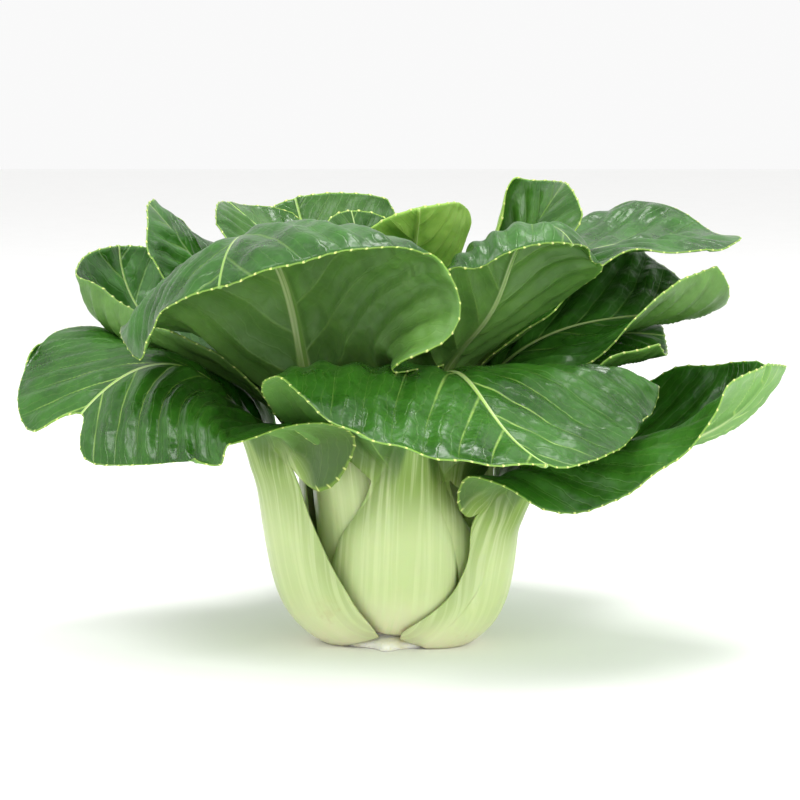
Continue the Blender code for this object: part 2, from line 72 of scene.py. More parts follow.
# Stalk and blade
LAMINA = 0.7 * MM             # thickness of a blade
JOINT_GAP = 0.3 * MM          # room between a blade and the midrib behind it
CLEAR = 1.2 * MM              # room kept between neighbouring leaves
STALK_ROWS = 7
LAST_EVEN_ROW = 0.86          # share of the stalk that these rows span
NECK_ROWS = (3.2 * MM, 0.7 * MM)  # two more rows just before the neck's end
BLADE_ROWS = 12
ROW_GROWTH = 1.25             # above 1, blade rows stand closer together at the neck
SIDE_COLUMNS = 6              # cells from the midline to either edge
INNER_COLUMN = 0.55           # first column beside the middle of a stalk, as a share of its half width
NECK_HALF = 12.5              # mm, half width of an outer stalk at the neck
LEAST_RADIUS = 3.0 * MM       # an inner stalk isn't rolled tighter than this
WRAP = 1.3                    # radians that a stalk's edge reaches around the bulb freely
WRAP_OVER = 0.6               # and the most that a wide one is squeezed in beyond that

# Half width and thickness in mm along the stalk, and half width and thickness of the midrib
# along the blade, each as (share of the length, size)
STALK_HALF = ((0.0, 16.0), (0.12, 20.5), (0.30, 22.0), (0.55, 18.5), (0.80, 14.0), (1.0, NECK_HALF))
STALK_DEEP = ((0.0, 5.0), (0.25, 6.1), (0.7, 6.2), (1.0, 5.6))
RIB_HALF = ((0.0, 9.0), (0.08, 6.5), (0.2, 4.2), (0.4, 2.7), (0.7, 1.6), (1.0, 1.1))
RIB_DEEP = ((0.0, 5.6), (0.1, 4.4), (0.3, 3.2), (0.6, 2.4), (1.0, 1.8))
# Share of the full half width along the blade
BLADE_SHAPE = ((0.0, 0.0), (0.05, 0.16), (0.12, 0.42), (0.2, 0.66), (0.32, 0.88), (0.5, 1.0),
               (0.65, 0.99), (0.8, 0.93), (1.0, 0.78))

# What a leaf has unless its own line says otherwise. Lengths in mm, angles in degrees.
USUAL = dict(
    lean=0.0,                 # extra outward lean of the stalk
    rise=0.0,                 # how much higher its free neck begins
    neck=20.0,                # length of the free neck
    length=92.0,              # length of the blade
    left=50.0, right=50.0,    # half widths of the blade
    pitch=(15, 45, 80, 110),  # tilt from upright at the neck, one third, two thirds and the tip
    turn=0.0,                 # how far the tip heads sideways
    roll=(0, 0),              # twist at the first third and at the tip
    cup=(20, 20),             # bend across each half
    curl=(0, 0),              # further bend at each edge
    furl=(0, 0),              # further bend of each half towards the tip
    ear=(0.14, 0.14),         # how far the blade's base reaches back beside the stalk
    point=0.20,               # how far the tip stands out
    notch=0.0,                # how deep the tip is cut in
    wave=(1.0, 1.0),          # height of the waves along the edges
    opening=0.30,             # share of the blade's length over which it opens flat
    stout=(1.0, 1.0),         # width of either half of the stalk, as a share of the usual one
)

# Outermost first. The azimuth is the side the stalk stands on: 270 faces the viewer.
LEAVES = []


def leaf(name, azimuth, **own):
    """Adds a leaf inside those before it."""
    LEAVES.append(dict(USUAL, name=name, azimuth=azimuth, ring=len(LEAVES), **own))


leaf("leaf_01", 334, neck=8, length=90, left=39, right=66, pitch=(30, 75, 70, 24), turn=13,
     roll=(-20, -13), cup=(-67, 44), curl=(-31, 56), furl=(63, -6), ear=(0.08, 0.15), point=0.11,
     lean=2, rise=-5, stout=(0.62, 1.0))
leaf("leaf_02", 199, neck=12, length=85, left=52, right=55, pitch=(22, 51, 119, 145), turn=5,
     roll=(-15, -15), cup=(-36, -12), curl=(25, 14), furl=(45, -27), ear=(0.14, 0.17), point=0.27,
     notch=0.16, lean=1.3, rise=4.4, opening=0.38, stout=(1.0, 0.93))
leaf("leaf_03", 76, neck=16, length=98, left=58, right=48, pitch=(22, 66, 92, 106), turn=-14,
     roll=(-4, 0), cup=(0, -10), curl=(5, 0), furl=(-10, 0), point=0.12)
leaf("leaf_04", 281, neck=13, length=101, left=50, right=62, pitch=(16, 47, 124, 107), turn=28,
     roll=(-3, -4), cup=(-6, 3), curl=(-6, -19), furl=(-10, -5), ear=(0.0, 0.11), point=0.23,
     rise=-0.7, wave=(0.6, 0.6), opening=0.18, stout=(1.28, 1.28))
leaf("leaf_05", 149, neck=17, length=95, left=42, right=42, pitch=(16, 77, 58, 3), turn=-3,
     roll=(7, -11), cup=(26, 35), curl=(0, 67), furl=(0, 24), point=0.15, rise=0.8)
leaf("leaf_06", 11, neck=21, length=66, left=45, right=35, pitch=(16, 45, 80, 98), turn=-7,
     roll=(6, 26), cup=(-9, -36), curl=(23, -9), furl=(70, -40), point=0.11)
leaf("leaf_07", 224, neck=31, length=110, right=65, pitch=(16, 27, 82, 134), turn=40, roll=(-9, 25),
     cup=(-41, -68), curl=(-18, -1), furl=(-25, 8), ear=(0.05, 0.02), point=0.18, lean=1, rise=-4.7)
leaf("leaf_08", 104, neck=22, left=24, right=44, pitch=(12, 34, 61, 105), turn=2, roll=(-1, -8),
     cup=(11, -5), curl=(1, 0), furl=(5, 0), ear=(0.02, 0.1), point=0.25)
leaf("leaf_09", 361, neck=27, length=85, left=29, right=45, pitch=(16, 62, 86, 76), turn=30,
     roll=(10, 28), cup=(12, 34), curl=(-4, -30), furl=(150, -25), ear=(0.02, 0.04), point=0.06,
     rise=0.3)
leaf("leaf_10", 177, neck=29, length=76, left=29, right=27, pitch=(16, 51, 34, 42), turn=11,
     roll=(-40, -11), cup=(13, -27), curl=(6, 56), furl=(-21, -25), point=0.15, lean=0.4)
leaf("leaf_11", 17, neck=37, length=99, left=25, right=42, pitch=(16, 54, 84, 91), roll=(5, -4),
     cup=(2, 4), curl=(10, -60), furl=(-30, 64), ear=(0.04, 0.02), point=0.18, lean=0.4, rise=1.5)
leaf("leaf_12", 306, neck=32, length=83, left=33, right=28, pitch=(16, 51, 28, 140), turn=10,
     roll=(2, -9), cup=(-5, -12), curl=(-13, 24), furl=(-61, -48), ear=(0.08, 0.02), point=0.06,
     rise=-1)
leaf("leaf_13", 123, neck=31, length=67, left=30, right=18, pitch=(12, 33, 34, 27), turn=3,
     roll=(8, 1), cup=(25, -46), curl=(-42, -20), furl=(51, -29), ear=(0.06, 0.14), point=0.13,
     rise=0.3)
leaf("leaf_14", 22, neck=37, length=66, left=21, right=24, pitch=(16, 37, 31, 36), turn=-13,
     roll=(-38, 1), cup=(7, 35), curl=(-14, 160), furl=(-51, 13), ear=(0.14, 0.02), point=0.09)
leaf("leaf_15", 150, neck=35, length=68, left=25, right=26, pitch=(11, 29, 52, 56), turn=3,
     roll=(4, 11), cup=(14, -17), curl=(0, -3), furl=(4, -7), point=0.14)
leaf("leaf_16", 135, neck=35, length=50, left=20, right=20, pitch=(3, 5, 12, 20), cup=(10, 10),
     point=0.15, rise=0.3)
leaf("leaf_17", 281, neck=38, length=60, left=27, right=29, pitch=(4, 41, 40, 36), turn=-3,
     roll=(14, 17), cup=(22, 71), curl=(-2, -14), furl=(-3, -7), ear=(0.12, 0.09), point=0.26,
     rise=1.3)


def smooth(x):
    """Eases from 0 to 1 between x = 0 and x = 1."""
    x = np.clip(x, 0.0, 1.0)
    return x * x * (3 - 2 * x)


def between(values, at):
    """Values between even steps along the first axis: the cubic through the four steps around each place."""
    last = len(values) - 1
    padded = np.concatenate([[2 * values[0] - values[1]], values, [2 * values[-1] - values[-2]]])
    i = np.minimum(at.astype(int), last - 1)
    f = (at - i).reshape((-1,) + (1,) * (values.ndim - 1))
    a, b, c, d = (padded[i + k] for k in range(4))
    return 0.5 * (2 * b + (c - a) * f + (2 * a - 5 * b + 4 * c - d) * f**2 + (3 * b - a - 3 * c + d) * f**3)


def unit(vectors):
    """The same directions, one long."""
    return vectors / np.maximum(np.linalg.norm(vectors, axis=-1, keepdims=True), 1e-12)


def walked_along(points):
    """The way walked to each point from the first."""
    return np.concatenate([[0], np.cumsum(np.linalg.norm(np.diff(points, axis=0), axis=-1))])


def along(table, x):
    """Reads a table of (place, size) pairs as a smooth curve."""
    at, size = (np.array(column) for column in zip(*table))
    slope = np.gradient(size, at)
    i = np.clip(np.searchsorted(at, x, side="right") - 1, 0, len(at) - 2)
    step = at[i + 1] - at[i]
    f = np.clip((x - at[i]) / step, 0, 1)
    return ((2 * f**3 - 3 * f**2 + 1) * size[i] + (f**3 - 2 * f**2 + f) * step * slope[i]
            + (3 * f**2 - 2 * f**3) * size[i + 1] + (f**3 - f**2) * step * slope[i + 1])


def share(p):
    """Radius of a leaf's ring as a share of the outer ring's."""
    inwards = p["ring"] - OUTER_LEAVES
    return 1.0 if inwards < 0 else INNER_RADIUS - RING_STEP * inwards


def narrow(p):
    """How much narrower the stalk of an inner leaf is."""
    return 1 - 0.6 * (1 - share(p))


def base_height(p):
    inwards = p["ring"] - OUTER_LEAVES
    return BASE_HEIGHT if inwards < 0 else INNER_HEIGHT + BASE_RISE * inwards


def midline(p):
    """The leaf's middle line: radius, sideways distance, height, tilt and heading at each arc length."""
    c = share(p)
    start = base_height(p)
    h = np.linspace(0, STALK_TOP + p["rise"] * MM - start, 80)
    flare = BULB_FLARE + math.tan(math.radians(p["lean"]))
    r = c * (BULB_RADIUS + BULB_SWELL * (1 - np.exp(-h / SWELL_HEIGHT)) + flare * h)
    z = start + h
    s = walked_along(np.stack([r, z], -1))
    tilt = np.arctan2(np.gradient(r, s), np.gradient(z, s))
    neck = p["neck"] * MM
    length = p["length"] * MM
    u = np.linspace(0, neck + length, 200)[1:]
    ease = smooth(u / neck)
    tilts = np.array(p["pitch"], float)
    bent = between(tilts, np.clip((u - neck) / length, 0, 1) * (len(tilts) - 1))
    pitch = np.where(u < neck, tilt[-1] * (1 - ease) + math.radians(p["pitch"][0]) * ease, np.radians(bent))
    turn = math.radians(p["turn"]) * smooth(0.8 * u / (neck + length)) / smooth(0.8)
    step = u[1] - u[0]
    return dict(
        s=np.concatenate([s, s[-1] + u]),
        r=np.concatenate([r, r[-1] + np.cumsum(np.sin(pitch) * np.cos(turn) * step)]),
        side=np.concatenate([0 * r, np.cumsum(np.sin(pitch) * np.sin(turn) * step)]),
        z=np.concatenate([z, z[-1] + np.cumsum(np.cos(pitch) * step)]),
        pitch=np.concatenate([tilt, pitch]),
        turn=np.concatenate([0 * r, turn]),
        stalk=s[-1], neck=s[-1] + neck, end=s[-1] + neck + length)


def pick(p, key, v):
    """The left or the right one of a pair, by the sign of v."""
    return np.where(v < 0, p[key][0], p[key][1])


def stalk_half(p, q, v):
    """Half width of the stalk at a share q of its length, on the side that the sign of v gives."""
    own = 1 + (pick(p, "stout", v) - 1) * smooth(q / 0.5) * (1 - smooth((q - 0.6) / 0.4))
    return along(STALK_HALF, q) * MM * narrow(p) * own


def half_width(p, u, v):
    """Half width at row u, 0 to 1 along the stalk and 1 to 2 along the blade."""
    base = NECK_HALF * MM * narrow(p)
    full = np.where(v < 0, p["left"], p["right"]) * MM
    on_stalk = stalk_half(p, np.clip(u, 0, 1), v)
    on_blade = base + (full - base) * along(BLADE_SHAPE, np.clip(u - 1, 0, 1))
    return np.where(u <= 1, on_stalk, on_blade)


def lattice(p, path):
    """Rows u and columns v of the sheet. The columns beside the middle follow the midrib's edges."""
    neck = path["neck"]
    near_neck = [1 - back / neck for back in NECK_ROWS]
    stalk = np.append(np.linspace(0, LAST_EVEN_ROW, STALK_ROWS), near_neck)
    blade = 1 + np.linspace(0, 1, BLADE_ROWS) ** ROW_GROWTH
    u = np.concatenate([stalk, blade])[:, None]
    out = np.linspace(0, 1, SIDE_COLUMNS)[None, :]
    halves = []
    for sign in (-1.0, 1.0):
        rib = along(RIB_HALF, np.clip(u - 1, 0, 1)) * MM * narrow(p)
        first = np.where(u < 1, INNER_COLUMN, rib / half_width(p, u, sign))
        halves.append(sign * (first + (1 - first) * out))
    v = np.concatenate([halves[0][:, ::-1], 0 * u, halves[1]], axis=1)
    return u + 0 * v, v


def sheet(p, path, u, v):
    """Points of the leaf's front face. Returns them with the arc length and the side distance."""
    t = np.clip(u - 1, 0, 1)
    y = v * half_width(p, u, v)
    length = path["end"] - path["neck"]
    inmost = NECK_HALF * MM * narrow(p)
    beyond = np.clip((np.abs(y) - inmost) / np.maximum(half_width(p, u, v) - inmost, 1e-6), 0, 1)
    ear = pick(p, "ear", v) * length * beyond**2 * (t / 0.1) * np.exp(1 - t / 0.1)
    tip = p["point"] * t**3 * np.abs(v) ** 2.2 + p["notch"] * t**6 * np.exp(-(v / 0.2) ** 2)
    s = np.where(u <= 1, u * path["neck"], path["neck"] + length * (t - tip) - ear)

    r, side, z, pitch, turn = (np.interp(s, path["s"], path[k]) for k in ("r", "side", "z", "pitch", "turn"))
    far = np.clip((s - path["neck"]) / length, 0, 1)
    first, last = p["roll"]
    roll = np.radians(first * smooth(far / 0.3) + (last - first) * smooth(far))
    normal = np.stack([-np.cos(pitch) * np.cos(turn), -np.cos(pitch) * np.sin(turn), np.sin(pitch)], -1)
    across = np.stack([-np.sin(turn), np.cos(turn), 0 * r], -1)
    cos, sin = np.cos(roll)[..., None], np.sin(roll)[..., None]
    across, normal = across * cos + normal * sin, normal * cos - across * sin

    # Walk out from the midline, bending as the half's own cup, curl and furl say
    full = np.where(v < 0, p["left"], p["right"]) * MM
    cup, curl, furl = (np.radians(pick(p, k, v)) for k in ("cup", "curl", "furl"))
    furl = furl * smooth((far - 0.35) / 0.65)
    open_up = smooth(far / p["opening"])
    hug = np.clip(r, 6 * MM, 45 * MM)
    reach = np.abs(y)
    out, up = np.zeros_like(y), np.zeros_like(y)
    steps = 24
    for k in range(steps):
        walked = (k + 0.5) / steps * reach
        x = walked / full
        bend = (1 - open_up) * np.minimum(walked / hug, 1.2)
        bend = bend + open_up * ((cup + furl) * x + curl * smooth((x - 0.55) / 0.45))
        out += np.cos(bend) * reach / steps
        up += np.sin(bend) * reach / steps
    open_form = np.stack([r, side, z], -1) + (np.sign(y) * out)[..., None] * across + up[..., None] * normal
    turned = np.abs(y) / np.maximum(r, LEAST_RADIUS)
    past = np.maximum(turned - WRAP, 0)
    angle = np.sign(y) * (np.minimum(turned, WRAP) + WRAP_OVER * np.tanh(past / WRAP_OVER))
    bulb_form = np.stack([r * np.cos(angle), r * np.sin(angle), z], -1)
    w = smooth((s / path["stalk"] - 0.55) / 0.45)[..., None]
    points = bulb_form * (1 - w) + open_form * w

    # Waves along the edges, two from base to tip
    phase = np.where(v < 0, 0.0, 2.1)
    lift = pick(p, "wave", v) * MM * smooth(far / 0.3) * np.abs(v) ** 1.6 * np.sin(4 * np.pi * t + phase)
    points = points + lift[..., None] * normal
    a = math.radians(p["azimuth"])
    around = np.array([[math.cos(a), -math.sin(a), 0], [math.sin(a), math.cos(a), 0], [0, 0, 1]])
    return points @ around.T, s, y


def depth(p, path, s, y, ease=0.0):
    """How far the back of the leaf stands behind its front face. The stalk goes over into the midrib
    within the length ease, and with any ease its flanks are rounder."""
    neck = path["neck"]
    q = np.clip(s / neck, 0, 1)
    t = np.clip((s - neck) / (path["end"] - neck), 0, 1)
    on_rib = smooth((s - neck + ease / 2) / ease) if ease else np.where(s > neck, 1.0, 0.0)
    half = stalk_half(p, q, y) * (1 - on_rib) + along(RIB_HALF, t) * MM * narrow(p) * on_rib
    deep = (along(STALK_DEEP, q) * (1 - on_rib) + along(RIB_DEEP, t) * on_rib) * MM * share(p)
    deep = np.maximum(deep, LAMINA + JOINT_GAP + 0.8 * MM)
    x = np.clip(np.abs(y) / half, 0, 1)
    return LAMINA + (deep - LAMINA) * (np.cos(0.5 * np.pi * x) ** 0.9 if ease else np.sqrt(1 - x**2) ** 1.2)


def cells(rows, columns):
    """Triangles of a sheet, wound so that they face the front. The diagonals of both halves run from
    the edge towards the midline and the tip, so that a leaf's ears don't fold over."""
    found = []
    for i in range(rows - 1):
        for j in range(columns - 1):
            a, b = i * columns + j, i * columns + j + 1
            c, d = a + columns, b + columns
            found += [(a, d, b), (a, c, d)] if j < columns // 2 else [(a, c, b), (b, c, d)]
    return found


def facing(points):
    """Unit normals of a sheet, out of its front face: the mean of the triangles around each point."""
    flat = points.reshape(-1, 3)
    corner = np.array(cells(*points.shape[:2]))
    a, b, c = (flat[corner[:, k]] for k in range(3))
    across = np.cross(b - a, c - a)
    n = np.zeros_like(flat)
    for k in range(3):
        np.add.at(n, corner[:, k], across)
    return unit(n).reshape(points.shape)


# How the leaves are eased apart
SETTLE_ROUNDS = 70
REACH = 8 * MM                # how deep a crossing may be and still be eased
BESIDE = 1 * MM               # a point further than this past another sheet's edge is clear of it
PACE = 2 * MM                 # the most that one round moves two leaves apart
GOOD_ENOUGH = 0.25 * MM       # a round with no larger fault ends the easing
SAME_WAY = 0.15               # least cosine between two front faces that face the same way
SPREAD = 0.15                 # share of each move that is evened out with the points around
EAGER = 0.9                   # share of the wanted move that a round makes


def fault(start_is_outer, agree, d, thick):
    """How much a point stands too close to the other sheet, and on which side of it (1 its front,
    -1 its back) it is wanted. The point lies d in front of that sheet.

    Where both face the same way, an outer leaf's point is wanted behind the inner leaf's back, and a
    point of an inner leaf's back is wanted in front of the outer leaf. Where they face each other, or
    one stands across the other, the point is wanted on the side that it is nearer to."""
    behind = d + thick + CLEAR
    before = CLEAR - d
    if agree > SAME_WAY:
        wanted = (behind, -1) if start_is_outer else (before, 1)
        return wanted if wanted[0] <= REACH + thick + CLEAR else (0.0, 0)
    return (before, 1) if d > -0.5 * thick else (behind, -1)


def settle(points, deep):
    """Eases neighbouring leaves apart, round after round, until none stands in another."""
    moved = [np.zeros_like(x) for x in points]
    rows, columns = points[0].shape[:2]
    faces = cells(rows, columns)
    corner = np.array(faces)
    thick = [d.reshape(-1) for d in deep]
    for _ in range(SETTLE_ROUNDS):
        now = [x + m for x, m in zip(points, moved)]
        front = [facing(x).reshape(-1, 3) for x in now]
        flat = [x.reshape(-1, 3) for x in now]
        trees = [BVHTree.FromPolygons(x.tolist(), faces) for x in flat]
        backs = [x - n * d[:, None] for x, n, d in zip(flat, front, thick)]
        low = [x.min(0) - REACH for x in flat]
        high = [x.max(0) + REACH for x in flat]
        push = [np.zeros_like(x) for x in flat]
        count = [np.zeros(len(x)) for x in flat]
        worst = 0.0
        for outer in range(len(now)):
            for inner in range(outer + 1, len(now)):
                if (low[inner] > high[outer]).any() or (low[outer] > high[inner]).any():
                    continue
                for a, b, start in ((outer, inner, flat[outer]), (inner, outer, backs[inner])):
                    within = ((start > low[b]) & (start < high[b])).all(1)
                    for k in np.nonzero(within)[0]:
                        hit, normal, face, distance = trees[b].find_nearest(start[k].tolist(), 2 * REACH)
                        if hit is None:
                            continue
                        normal = np.array(normal)
                        d = float((start[k] - np.array(hit)) @ normal)
                        if distance**2 - d * d > BESIDE**2:
                            continue
                        there = thick[b][corner[face]].mean() if a == outer else LAMINA
                        short, side = fault(a == outer, float(front[a][k] @ normal), d, there)
                        if short <= 0:
                            continue
                        worst = max(worst, short)
                        step = 0.5 * min(short, PACE) * side * normal
                        push[a][k] += step
                        count[a][k] += 1
                        push[b][corner[face]] -= step
                        count[b][corner[face]] += 1
        for k in range(len(moved)):
            mean = (push[k] / np.maximum(count[k], 1)[:, None]).reshape(rows, columns, 3)
            total = moved[k] + EAGER * mean
            pad = np.pad(total, ((1, 1), (1, 1), (0, 0)), mode="edge")
            around = 0.25 * (pad[2:, 1:-1] + pad[:-2, 1:-1] + pad[1:-1, 2:] + pad[1:-1, :-2])
            moved[k] = (1 - SPREAD) * total + SPREAD * around
        if worst < GOOD_ENOUGH:
            break
    return [x + m for x, m in zip(points, moved)]


STEM_RADIUS = 15.5 * MM       # of the cut face
STEM_FLARE = 1.2 * MM         # wider at the ground
STEM_DISC = 2.6 * MM          # height of the disc below the inner stalks
STEM_TOP = 21 * MM            # the cone above it that the inner stalks stand around
LOBE = 4.2 * MM               # how far the cut face reaches out between the two front stalks
LOBE_AT = 265                 # degrees around the stem
LOBE_SPREAD = 9.0


def floor_of(p):
    """Outer stalks may reach the ground, inner ones stay above the stem's disc."""
    return 0.0 if p["ring"] < OUTER_LEAVES else STEM_DISC + 0.6 * MM


CELLS = 8                     # fine steps to each step of the settled sheets

# Leaves by what they look like: mature outer ones, middle ones, and the young heart
OUTER = ("leaf_01", "leaf_02", "leaf_03", "leaf_04")
MIDDLE = ("leaf_05", "leaf_06", "leaf_07", "leaf_08", "leaf_09", "leaf_10", "leaf_11", "leaf_12")
HEART = ("leaf_13", "leaf_14", "leaf_15", "leaf_16", "leaf_17")

_done = {}


def settled():
    """The settled sheets and their depths, worked out once."""
    if not _done:
        paths = [midline(p) for p in LEAVES]
        raw, deep = [], []
        for p, path in zip(LEAVES, paths):
            u, v = lattice(p, path)
            points, s, y = sheet(p, path, u, v)
            raw.append(points)
            deep.append(depth(p, path, s, y))
        _done["paths"] = paths
        _done["raw"] = raw
        _done["points"] = settle(raw, deep)
    return _done


def fine_lattice(p, path, cells_each):
    """The rows and columns of the settled sheet with cells_each steps between them."""
    u, v = lattice(p, path)
    middle = SIDE_COLUMNS
    rows = np.linspace(0, len(u) - 1, (len(u) - 1) * cells_each + 1)
    fine_u = np.interp(rows, np.arange(len(u)), u[:, 0])
    k = np.linspace(-middle, middle, 2 * middle * cells_each + 1)
    out = np.abs(k)
    first = [np.interp(rows, np.arange(len(u)), np.abs(v[:, middle + side]))[:, None] for side in (-1, 1)]
    first = np.where(k[None, :] < 0, first[0], first[1])
    reach = np.where(out < 1, first * out, first + (1 - first) * (out - 1) / (middle - 1))
    return fine_u[:, None] + 0 * reach, np.sign(k) * reach, rows, k + middle


def grid_normals(points):
    """Unit normals of a grid: the cross product of each cell's diagonals, averaged at the corners."""
    cell = np.cross(points[1:, 1:] - points[:-1, :-1], points[:-1, 1:] - points[1:, :-1])
    n = np.zeros_like(points)
    for i, j in ((0, 0), (0, 1), (1, 0), (1, 1)):
        n[i:i + cell.shape[0], j:j + cell.shape[1]] += cell
    return unit(n)


def ripples(s, y, size, seed):
    """Soft unevenness from -1 to 1: seven plane waves about size long, at seeded angles and phases."""
    draw = np.random.default_rng(seed)
    total = 0
    for _ in range(7):
        angle, phase = draw.uniform(0, 2 * np.pi, 2)
        wave = 2 * np.pi / (size * draw.uniform(0.8, 1.6))
        total = total + np.sin(wave * (s * np.cos(angle) + y * np.sin(angle)) + phase)
    return total / 4.5


# Relief of a leaf. Lengths are in mm, and a pair is how far something repeats and how high it stands.
VEIN_SPACING = 0.135          # of side veins along the midrib, as a share of the blade's length
VEIN_LEAN = 0.95              # how far a side vein moves on towards the tip for each step outwards
VEIN_ARCH = 0.35              # and how much more so near the edge
FAN_ROOT = 18                 # mm below the neck where the shallow folds of a blade meet
FAN_FOLDS = 15                # folds to a radian
FAN_DEPTH = 0.8
NECK_EASE = 24                # over which the stalk runs into the midrib
RIGHT_VEINS = 0.45            # how far the right half's veins are out of step with the left half's
VEIN_WANDER = (34, 0.16)      # the height as a share of the spacing
VEIN_HALF = 0.85              # half width of a side vein's ridge
VEIN_SUNK = 0.22              # how deep a side vein lies in front
VEIN_RAISED = 0.45            # and how far it stands out behind
UNEVEN = (26, 0.6)
PUFFED = (9, 0.28)
EDGE_WAVE = (15, 0.7)
STALK_RIDGE = (5, 0.28)
TOOTH_SPACING = 4.2
TOOTH = 0.35
TOOTH_REACH = 0.8
RIGHT_TEETH = 1.7             # how far the right edge's teeth are out of step with the left edge's
MAP_SIZE = (0.16, 0.2)        # metres across and along that the leaf's UV map spans


def vein_count(p, path, s, y):
    """A number that is whole on each side vein: the arc length less the vein's advance, in spacings.

    A vein leaves the midrib and advances VEIN_LEAN times its distance from it, and more near the edge."""
    length = path["end"] - path["neck"]
    full = np.where(y < 0, p["left"], p["right"]) * MM
    out = np.abs(y)
    advance = VEIN_LEAN * out + VEIN_ARCH * out**2 / full
    spacing = VEIN_SPACING * length
    uneven = VEIN_WANDER[1] * ripples(s, y, VEIN_WANDER[0] * MM, p["ring"] + 40)
    return (s - path["neck"] - advance) / spacing + np.where(y < 0, 0.0, RIGHT_VEINS) + uneven


def leaf_surface(p, path, raw, points, look, cells_each):
    """The fine front and back of a leaf, and the values that its material follows."""
    u, v, rows, columns = fine_lattice(p, path, cells_each)
    base, s, y = sheet(p, path, u, v)
    base = base + between(between(points - raw, rows).swapaxes(0, 1), columns).swapaxes(0, 1)
    deep = depth(p, path, s, y, NECK_EASE * MM)
    normal = grid_normals(base)
    length = path["end"] - path["neck"]
    far = np.clip((s - path["neck"]) / length, 0, 1)
    rib = along(RIB_HALF, far) * MM * narrow(p)
    on_blade = smooth((s - path["neck"] + 4 * MM) / (16 * MM))
    past_neck = (np.abs(y) - NECK_HALF * MM * narrow(p) - 2 * MM) / (6 * MM)
    on_blade = np.maximum(on_blade, smooth(past_neck) * smooth((u - 1) / 0.03))
    beside_rib = smooth((np.abs(y) - 0.6 * rib) / (3.5 * MM)) * on_blade
    full = half_width(p, u, v)

    # Distance to the edge, sideways or towards the tip, and the place along the edge
    sideways = (1 - np.abs(v)) * full
    endways = s[-1:, :] - s
    edge = np.where(u > 1, np.minimum(sideways, endways), sideways)
    left, right, end = (walked_along(line) for line in (base[:, 0], base[:, -1], base[-1]))
    beside = np.where(v < 0, left[:, None], right[:, None] + RIGHT_TEETH * MM)
    around = np.where(endways < sideways, left[-1] + end[None, :], beside)

    # Relief: blisters between side veins, soft unevenness, waves of the edge
    count = vein_count(p, path, s, y)
    from_vein = np.abs((count + 0.5) % 1 - 0.5) * VEIN_SPACING * length * 0.72
    fade = 1 - 0.75 * smooth(np.abs(v))
    taper = beside_rib * fade * smooth(edge / (5 * MM))
    vein = np.exp(-(from_vein / (VEIN_HALF * MM)) ** 2) * taper
    blister = np.sin(np.pi * count) ** 2 * beside_rib * smooth(edge / (9 * MM)) * look["blister"] * MM
    uneven, puff, wavy = (
        ripples(a, b, repeat * MM, p["ring"] + seed) * height * MM for a, b, (repeat, height), seed in (
            (s, y, UNEVEN, 5), (s, y, PUFFED, 130), (around, y * 0, EDGE_WAVE, 90)))
    puff = puff * smooth(edge / (4 * MM))
    wavy = wavy * np.exp(-edge / (6 * MM)) * on_blade
    turn = np.arctan2(y, np.maximum(s - path["neck"] + FAN_ROOT * MM, 1 * MM))
    fan = np.sin(FAN_FOLDS * turn + p["ring"]) * (1 - smooth(far / 0.8)) * FAN_DEPTH * MM
    lift = blister + wavy + (uneven + fan + puff) * beside_rib
    front = base + normal * (lift - VEIN_SUNK * MM * vein)[..., None]

    # Teeth: the edge stands out a little every few millimetres
    tooth = np.maximum(0, np.cos(2 * np.pi * around / (TOOTH_SPACING * MM))) ** 2 * on_blade
    tipward, outward = (unit(np.gradient(base, axis=axis)) for axis in (0, 1))
    way = np.where((endways < sideways)[..., None], tipward, outward * np.sign(v)[..., None])
    front = front + way * (TOOTH * MM * tooth * np.exp(-edge / (TOOTH_REACH * MM)))[..., None]

    # Stalk: shallow lengthwise ridges on its back
    on_stalk = 1 - on_blade
    ridge = ripples(s * 0.06, y, STALK_RIDGE[0] * MM, p["ring"] + 60) * STALK_RIDGE[1] * MM * on_stalk
    ridge = ridge * smooth(s / (14 * MM)) * smooth(sideways / (4 * MM))
    thin = 1 - 0.45 * np.exp(-edge / (1.2 * MM))
    back = front - normal * (deep * thin + VEIN_RAISED * MM * vein + ridge)[..., None]
    low = floor_of(p)
    front[..., 2] = np.maximum(front[..., 2], low)
    back[..., 2] = np.maximum(back[..., 2], low)
    values = dict(
        vein=count, rib=np.abs(y) / rib, edge=edge / MM, around=around / MM, blade=on_blade,
        out=np.abs(v), along=s / path["neck"], far=far)
    return front, back, values, (0.5 + y / MAP_SIZE[0], s / MAP_SIZE[1])


def closed_grid(front, back):
    """Corners and quads of a closed body between two grids, with a strip around their rims."""
    rows, columns = front.shape[:2]
    count = rows * columns
    index = np.arange(count).reshape(rows, columns)
    a, b, c, d = index[:-1, :-1], index[:-1, 1:], index[1:, 1:], index[1:, :-1]
    face = np.stack([a, d, c, b], -1).reshape(-1, 4)
    behind = np.stack([a, b, c, d], -1).reshape(-1, 4) + count
    rim = np.concatenate([index[0, :-1], index[:-1, -1], index[-1, :0:-1], index[:0:-1, 0]])
    onward = np.roll(rim, -1)
    strip = np.stack([rim, onward, onward + count, rim + count], -1)
    return np.concatenate([front.reshape(-1, 3), back.reshape(-1, 3)]), np.concatenate([face, behind, strip])


